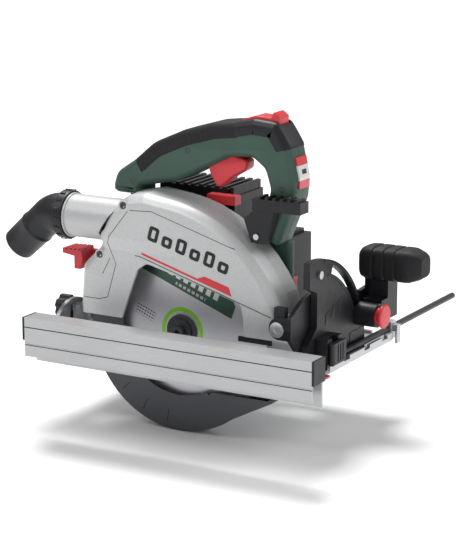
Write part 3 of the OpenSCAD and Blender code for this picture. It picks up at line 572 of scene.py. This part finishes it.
# ---------------------------------------------------------------- upper guard
ARC_CENTRE, ARC_R = Vector((-22, -18)), 152.5
arc_points = [tuple(ARC_CENTRE + Vector((math.cos(a), math.sin(a))) * ARC_R) + (0,)
              for a in (math.radians(20 + 63 * k / 40) for k in range(41))]
GUARD_CORNERS = [(121, -16, 1)] + arc_points + [(-32, 137, 16), (-54, 133, 16), (-74, 111, 14),
                 (-87, 92, 10), (-82, 81, 10), (-105, 59, 12), (-111, -16, 2)]
WINDOW = fillet([(-60, 3, 3), (84, 3, 3), (82, 30, 6), (79, 42, 7), (38, 54, 12),
                 (-27, 70, 8), (-38, 62, 5), (-49, 33, 12)])
face_y, split = mm_box("guard_cover")[0].y + 0.5, mm_box("guard_cover")[1].y


def guard_loop(d):
    """The guard's outline moved inwards by d, with its corner radii shrunk to suit."""
    moved = inset([c[:2] for c in GUARD_CORNERS], d)
    return fillet([(p.x, p.y, max(c[2] - d, 0.4) if c[2] else 0)
                   for p, c in zip(moved, GUARD_CORNERS)])


def guard_shell():
    window = facing(WINDOW, False)
    n, m = len(guard_loop(0)), len(window)
    steps = [(split - 0.2, 0), (-13, 0), (-16, 0.5), (-21, 4.6), (-23, 6.6), (face_y + 0.3, 7.8),
             (face_y, 8.6)]
    inner = [(face_y + 2.6, 9.0), (-17, 4.2), (-14, 3.2), (split - 0.2, 3.0)]
    verts, faces = [], []
    rows = steps + inner
    for y, d in rows:
        verts += [at(p.x, y, p.y) for p in guard_loop(d)]
    for j in range(len(rows)):
        k = (j + 1) % len(rows)
        if j == len(steps) - 1:
            continue
        for i in range(n):
            q = (i + 1) % n
            faces.append((j * n + i, j * n + q, k * n + q, k * n + i))
    hole = [(face_y, 0), (face_y + 0.5, -0.5), (face_y + 2.6, -0.5)]
    base = len(verts)
    for y, d in hole:
        verts += [at(p.x, y, p.y) for p in inset(window, d - 0.5)]
    for j in range(2):
        for i in range(m):
            q = (i + 1) % m
            faces.append((base + j * m + i, base + j * m + q, base + (j + 1) * m + q,
                          base + (j + 1) * m + i))
    for row, layer in ((len(steps) - 1, 0), (len(steps), 2)):
        index = [row * n + i for i in range(n)] + [base + layer * m + i for i in range(m)]
        ring_a = [Vector((p.x, p.y, 0)) for p in guard_loop(rows[row][1])]
        ring_b = [Vector((p.x, p.y, 0)) for p in inset(window, hole[layer][1] - 0.5)]
        faces += [tuple(index[k] for k in t)
                  for t in geometry.tessellate_polygon([ring_a, ring_b])]
    shell = make("upper_guard_shell", verts, faces, CAST, "saw", "guard_cover", slot="cast")
    bottom = slab("tool_bottom", [(-107, -30), (117, -30), (117, 16), (-107, 16)],
                  face_y + 2.4, split + 2, CAST, None, edge=0.01)
    below = slab("tool_below", [(-140, -40), (140, -40), (140, 10.2), (-140, 10.9)],
                 face_y - 5, split + 5, CAST, None, edge=0.01)
    low = mm_box("gear_case")[0]
    neck = turned("tool_neck", at(low.x - 5, 0, DUCT_Z), (1, 0, 0),
                  [(NECK_R + 0.4, 0), (NECK_R + 0.4, 60)], CAST, None)
    return cut(shell, bottom, below, neck)


guard_shell()
for tag, (x, z) in SCREWS.items():
    socket_screw("guard_screw_" + tag, at(x, face_y + 0.9, z), (0, -1, 0), 3.6, 1.0, DARK_METAL,
                 "saw")
for tag, (x, z) in SCREWS.items():
    turned("screw_seat_" + tag, at(x, face_y + 1.2, z), (0, -1, 0),
           [(5.4, 0), (5.4, 1.35), (5.0, 1.5), (4.2, 1.5), (4.0, 1.2), (4.0, 0.6), (3.0, 0.6)],
           CAST, "saw", slot="cast")
low, high = mm_box("pivot_bolt")
turned("guard_pivot_boss", at((low.x + high.x) / 2, face_y - 0.4, (low.z + high.z) / 2), (0, 1, 0),
       [(4.3, 0), (8.2, 0), (9, 0.8), (9, split - face_y), (4.3, split - face_y)], CAST, "saw",
       slot="cast")

# decoration: a red stripe with a tag, and a plain row of slanted bars
red_stripe = [(-32.3, 79.7), (31, 61.2), (39, 64.2), (66, 56.6), (69, 47.9), (-32.3, 77.4)]
slab("guard_stripe", red_stripe, face_y - 0.18, face_y + 0.05, RED_PLASTIC, "saw", edge=0.05,
     slot="red")
lean = Vector((0.28, 1)).normalized()
run = Vector((96, -27)).normalized()
for k in range(6):
    start = Vector((-26, 93.5)) + run * (k * 16.3)
    tall = (15, 11, 15, 11, 15, 11)[k]
    wide = 11.5
    bar = [start, start + run * wide, start + run * wide + lean * tall, start + lean * tall]
    low_a, low_b = start + run * 3.6 + lean * 3.2, start + run * (wide - 3.6) + lean * 3.2
    rise = lean * (tall - 6.4)
    inner_bar = [low_a, low_b, low_b + rise, low_a + rise]
    slab(f"guard_motif_{k + 1}", fillet([tuple(p) for p in bar], 3.2), face_y - 0.3, face_y + 0.1,
         GRAPHITE, "saw", holes=[fillet([tuple(p) for p in inner_bar], 1.2)], edge=0.1,
         slot="dark_metal")

# ---------------------------------------------------------------- main handle
H0, H1 = mm_box("soft_grip")[0].y, mm_box("soft_grip")[1].y
HM = (H0 + H1) / 2
OUTLINE = [(66, 105, 6), (98, 93, 3), (117, 140, 30), (118, 160, 18), (111, 191, 14), (104, 202, 6),
           (97, 212, 8), (72, 214, 8), (52, 210, 20), (28, 207, 30), (-6, 197, 40), (-40, 182, 40),
           (-60, 165, 24), (-84, 149, 18), (-90, 128, 8), (-56, 128, 3)]
LOOP = [(76, 109, 10), (86, 131, 12), (90, 148, 14), (84, 167, 12), (70, 177, 10), (45, 175, 20),
        (17, 161, 30), (-12, 146, 30), (-56, 137, 6), (-56, 128, 0)]
# one outline round the open D: outside, then back along the inside
d_shape = fillet(OUTLINE + LOOP[8::-1])
shell = slab("handle_shell", d_shape, H0, H1, GREEN, "saw", "handle_right", "handle_left",
            edge=7, groove=(HM, 0.45), steps=5, slot="green")
pocket = slab("tool_pocket", [(8, 150), (66, 160), (68, 190), (66, 197), (2, 188)], HM - 9, HM + 9,
              GREEN, None, edge=0.01)
slot_tool = slab("tool_slot", [(54, 196), (99, 196), (99, 225), (54, 225)], HM - 10.5, HM + 10.5,
                 GREEN, None, edge=0.01)
under = slab("tool_guard", guard_loop(-0.5), -1, 25.2, GREEN, None, edge=0.01)
cut(shell, pocket, slot_tool, under)
for tag, points in (("rear", [(-86, 129), (-52, 129), (-30, 55), (-46, 55)]),
                    ("front", [(22, 41), (100, 31), (100, 94), (66, 106), (50, 69), (22, 69)])):
    web = slab("handle_web_" + tag, fillet(points, 5), 34, H1 - 0.2, GREEN, "saw", edge=2.5,
               slot="green")
    centre = centre_of("motor_housing")
    cut(web, turned("tool_motor_" + tag, Vector((centre.x, at(0, 20, 0).y, centre.z)), (0, 1, 0),
                    [(33.1, 0), (33.1, 40)], GREEN, None, n=64))
turned("lever_pin", at(LEVER_PIN[0], -8, LEVER_PIN[1]), (0, 1, 0),
       [(2.9, 0.3), (3, 0.6), (3, 18.5)], STEEL, "saw")

outer = facing(fillet(OUTLINE, steps=5))
grip_ids = [i for i, p in enumerate(outer) if -75 < p.x < 56 and p.y > 150]
cap_ids = [i for i, p in enumerate(outer) if p.x > 43 and p.y > 187]


def skin(name, ids, depth_mm, material, stands_for, slot_name, proud=0.4, edge=7.0, steps=6):
    """A rounded skin over the handle's outside: it follows the handle's section round its edges."""
    base = facing(fillet(OUTLINE, steps=5))
    arcs = []
    for k in range(steps + 1):
        a = math.pi / 2 * k / steps
        arcs.append((H0 + edge * (1 - math.cos(a)), edge * (1 - math.sin(a)),
                     -math.cos(a) * proud, -math.sin(a) * proud))
    section = [(H0 - proud, depth_mm)]
    for y, d, dy, dd in arcs:
        section.append((y + dy, d + dd))
    for y, d, dy, dd in reversed(arcs):
        section.append((H0 + H1 - y - dy, d + dd))
    section.append((H1 + proud, depth_mm))
    section += [(H1 - 1.0, depth_mm), (H1 - 1.0, 4.0), (H0 + 1.0, 4.0), (H0 + 1.0, depth_mm)]
    rings = []
    loops = {}
    for y, d in section:
        loops.setdefault(round(d, 4), inset(base, d))
    for i in ids:
        rings.append([at(loops[round(d, 4)][i].x, y, loops[round(d, 4)][i].y) for y, d in section])
    return loft(name, rings, material, "saw", stands_for, slot=slot_name, smooth=35)


skin("grip_skin", grip_ids, 15.0, RIBS, "soft_grip", "soft")
cap = skin("top_cover_skin", cap_ids, 14.0, BLACK, "handle_top_cover", "black", proud=0.5)
cut(cap, slab("tool_cap", [(54, 190), (99, 190), (99, 230), (54, 230)], HM - 10.5, HM + 10.5, BLACK,
              None, edge=0.01))

slab("trigger_key", fillet([(20, 154), (27, 143), (33, 144), (44, 154), (60, 163), (61, 172),
     (44, 177), (15, 168)], 5), HM - 8.5, HM + 8.5, RED_PLASTIC, "trigger_key", "trigger", edge=2.5,
     steps=4, slot="red")
slab("lock_off_slider", fillet([(56, 205), (56, 212), (72, 217), (88, 216), (90, 222), (97, 217),
            (97, 205)], 1.5), HM - 10, HM + 10, RED_PLASTIC, "lock_off", "lock_off_button", edge=1.5,
            slot="red")
for i, (x, z) in enumerate(HANDLE_SCREWS):
    socket_screw(f"handle_screw_{i + 1}", at(x, H0 + 0.6, z), (0, -1, 0), 3.0, 0.9, DARK_METAL, "saw")

# ---------------------------------------------------------------- front grip
low, high = mm_box("front_handle")
grip_centre = (low + high) / 2
length = high.x - low.x


def section(x, half_y, half_z, power=3.2, n=40, tilt=0.0):
    ring = []
    for i in range(n):
        a = 2 * math.pi * i / n
        c, s = math.cos(a), math.sin(a)
        y = half_y * math.copysign(abs(c) ** (2 / power), c)
        z = half_z * math.copysign(abs(s) ** (2 / power), s)
        ring.append(at(x + tilt * z, grip_centre.y + y, grip_centre.z + z))
    return ring


half_y, half_z = (high.y - low.y) / 2, (high.z - low.z) / 2
stations = [(0, 0.55), (0.015, 0.74), (0.05, 0.9), (0.11, 0.98)]
for g in (0.26, 0.44, 0.62):
    stations += [(g - 0.03, 1.0), (g - 0.018, 0.93), (g + 0.018, 0.93), (g + 0.03, 1.0)]
stations += [(0.74, 1.0), (0.80, 0.985), (0.93, 0.80), (0.985, 0.66), (1.0, 0.58)]
loft("front_grip", [section(low.x + t * length, half_y * s, half_z * s, 4.2) for t, s in stations],
     SOFT, "tilt_frame", "front_handle", slot="soft", smooth=28)

# bevel button: a crowned cap on the clamp tube
low, high = mm_box("bevel_release_button")
mid = (low + high) / 2
turned("bevel_button", at(low.x, mid.y, mid.z), (1, 0, 0),
       [(9, 0), (9, 6.8), (11.2, 7), (12, 7.8), (12, 9.2), (11, 10.2), (7, 10.5)], RED_PLASTIC,
       "bevel_button", "bevel_release_button", slot="red", n=64)

# ---------------------------------------------------------------- dust elbow
low, high = mm_box("dust_nozzle")
neck_x = high.x
elbow_x = neck_x - 25
angle = math.radians(42)
leg = Vector((-math.cos(angle), 0, -math.sin(angle)))
joint = Vector((elbow_x, 0, DUCT_Z))
back = Vector((-1, 0, 0))
path = [(Vector((neck_x + dx, 0, DUCT_Z)), back, r)
        for dx, r in ((0, 24.1), (-1, 24.5), (-10, 24.5), (-11, 23.5), (-11.2, 20.8))]
bend_r = 22 / math.tan(angle / 2) * 0.45
bend = bend_r * math.tan(angle / 2)
bend_centre = joint + Vector((bend, 0, -bend_r))
for k in range(9):
    a = angle * k / 8
    p = bend_centre + Vector((-math.sin(a), 0, math.cos(a))) * bend_r
    path.append((p, Vector((-math.cos(a), 0, -math.sin(a))), 20.8 - 2.8 * k / 8))
for t, r in ((22, 17.9), (24, 17.9), (25, 18.6), (27, 18.6), (28, 17.9), (46, 17.6),
             (LEG - 0.4, 17.2), (LEG, 16.8)):
    path.append((joint + leg * t, leg, r))


def tube_ring(p, d, r, n=56):
    side = Vector((0, 1, 0))
    up = side.cross(d)
    return [at(*(p + (side * math.cos(2 * math.pi * i / n) + up * math.sin(2 * math.pi * i / n)) * r))
            for i in range(n)]


rings = [tube_ring(p, d, r) for p, d, r in path]
for t in (LEG, 40, 6):
    rings.append(tube_ring(joint + leg * t, leg, OUTLET_R))
loft("dust_elbow", rings, BLACK, "dust_port", "dust_nozzle", slot="black", smooth=35)

# sixteen tapered grip ribs round the collar, in one piece
verts, faces = [], []
for k in range(16):
    a = 2 * math.pi * k / 16
    u = Vector((0, math.cos(a), math.sin(a)))
    v = Vector((0, -math.sin(a), math.cos(a)))
    first = len(verts)
    for x, r, w in ((-9, 24, 1.2), (-8.6, 24, 1.8), (-7.8, 25.2, 1.1), (-3.0, 25.2, 1.1),
                    (-2.2, 24, 1.8), (-1.8, 24, 1.2)):
        for s, deep in ((-1, 0), (-0.6, 0.5), (0.6, 0.5), (1, 0)):
            p = u * (r + (deep if r > 24 else 0)) + v * w * s
            verts.append(at(neck_x + x, p.y, DUCT_Z + p.z))
    for j in range(5):
        for i in range(4):
            q = (i + 1) % 4
            faces.append(tuple(first + n for n in (4 * j + i, 4 * j + q, 4 * j + 4 + q, 4 * j + 4 + i)))
    faces += [tuple(first + n for n in (0, 1, 2, 3)), tuple(first + n for n in (20, 21, 22, 23))]
make("elbow_ribs", verts, faces, BLACK, "dust_port")
# neck: engraved dial ring on the casting
turned("neck_ring", at(mm_box("gear_case")[0].x + 3, 0, DUCT_Z), (1, 0, 0),
       [(NECK_R, 0), (NECK_R + 1.1, 0.6), (NECK_R + 1.1, 2.6), (NECK_R, 3.2)], CASE, "saw",
       slot="case_cast", n=64)

# ---------------------------------------------------------------- quadrant dress
quad = mm_box("bevel_quadrant")
qx = quad[1].x - 0.5
bevel_axis = Vector((0, mm_box("bevel_pins")[0].z + 3.5))


def fan(r0, r1, a0, a1, n=24):
    """A band of a ring about the bevel axis, between two angles in degrees."""
    angles = [math.radians(a0 + (a1 - a0) * k / n) for k in range(n + 1)]
    return ([bevel_axis + Vector((math.cos(a), math.sin(a))) * r1 for a in angles]
            + [bevel_axis + Vector((math.cos(a), math.sin(a))) * r0 for a in reversed(angles)])


slab("quadrant_rim", fan(103.2, 106.7, 30, 80), qx - 0.4, qx + 0.55, BLACK_CAST, "base", edge=0.3,
     put=along_x, slot="dark_metal")
slab("quadrant_inner_rim", fan(90.4, 93.2, 24, 74), qx - 0.4, qx + 0.5, BLACK_CAST, "base", edge=0.3,
     put=along_x, slot="dark_metal")
for k in range(3):
    y = 20 + 14 * k
    z = 48 - SOLE + 4 * k
    badge = fillet([(y, z), (y + 10, z + 4), (y + 12, z + 15), (y + 2, z + 11)], 2)
    slab(f"quadrant_motif_{k + 1}", badge, qx - 0.2, qx + 0.45, BLACK_CAST, "base", edge=0.2,
         put=along_x, slot="dark_metal")

# ---------------------------------------------------------------- stage, light and camera
low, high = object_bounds()
floor_z = low.z - 0.0005
bpy.ops.mesh.primitive_plane_add(size=14, location=(0, 0, floor_z))
floor = bpy.context.object
floor.name = "floor"
floor_p = Paint("floor_paint", (0.93, 0.93, 0.93), rough=0.7)
floor_p.vary(floor_p.noise(3), 0.99, 1.01)
floor.data.materials.append(floor_p.done())
floor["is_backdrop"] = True

world = bpy.data.worlds.new("studio")
bpy.context.scene.world = world
world.use_nodes = True
world.node_tree.nodes["Background"].inputs[0].default_value = (1.0, 1.0, 1.0, 1)
world.node_tree.nodes["Background"].inputs[1].default_value = 0.36
bpy.context.scene.view_settings.view_transform = "Standard"


def softbox(name, place, aim, size, power):
    light = bpy.data.lights.new(name, "AREA")
    light.shape = "RECTANGLE"
    light.size, light.size_y = size
    light.energy = power
    obj = bpy.data.objects.new(name, light)
    obj.location = place
    obj.rotation_mode = "QUATERNION"
    obj.rotation_quaternion = (Vector(aim) - Vector(place)).to_track_quat("-Z", "Y")
    bpy.context.scene.collection.objects.link(obj)


softbox("key", (-0.9, -1.5, 1.9), (0, 0, 0.1), (1.2, 1.2), 22)
softbox("rim", (1.4, 1.2, 1.3), (0, 0, 0.1), (1.0, 1.4), 12)
softbox("front", (1.9, -1.1, 0.7), (0.05, 0, 0.1), (0.8, 1.2), 5)
sky = bpy.data.lights.new("overhead", "SUN")
sky.energy, sky.angle = 2.9, math.radians(22)
sky_lamp = bpy.data.objects.new("overhead", sky)
sky_lamp.rotation_mode = "QUATERNION"
sky_lamp.rotation_quaternion = Vector((-0.3, 0.35, 0.9)).to_track_quat("Z", "Y")
bpy.context.scene.collection.objects.link(sky_lamp)

# the camera stands about 2.06 m from the spindle, and is shifted to frame the whole saw
azimuth, elevation, distance = math.radians(29.9), math.radians(13.7), 2.0553
back_dir = Vector((math.sin(azimuth) * math.cos(elevation), -math.cos(azimuth) * math.cos(elevation),
                   math.sin(elevation)))
right = Vector((math.cos(azimuth), math.sin(azimuth), 0))
above = back_dir.cross(right)
camera_data = bpy.data.cameras.new("camera")
camera_data.lens = 135.5
camera_data.sensor_width = 36
camera = bpy.data.objects.new("camera", camera_data)
bpy.context.scene.collection.objects.link(camera)
camera.location = SPINDLE + back_dir * distance + right * 0.0463 + above * 0.0524
camera.rotation_mode = "QUATERNION"
camera.rotation_quaternion = Matrix((right, above, back_dir)).transposed().to_quaternion()
bpy.context.scene.camera = camera

low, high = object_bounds()
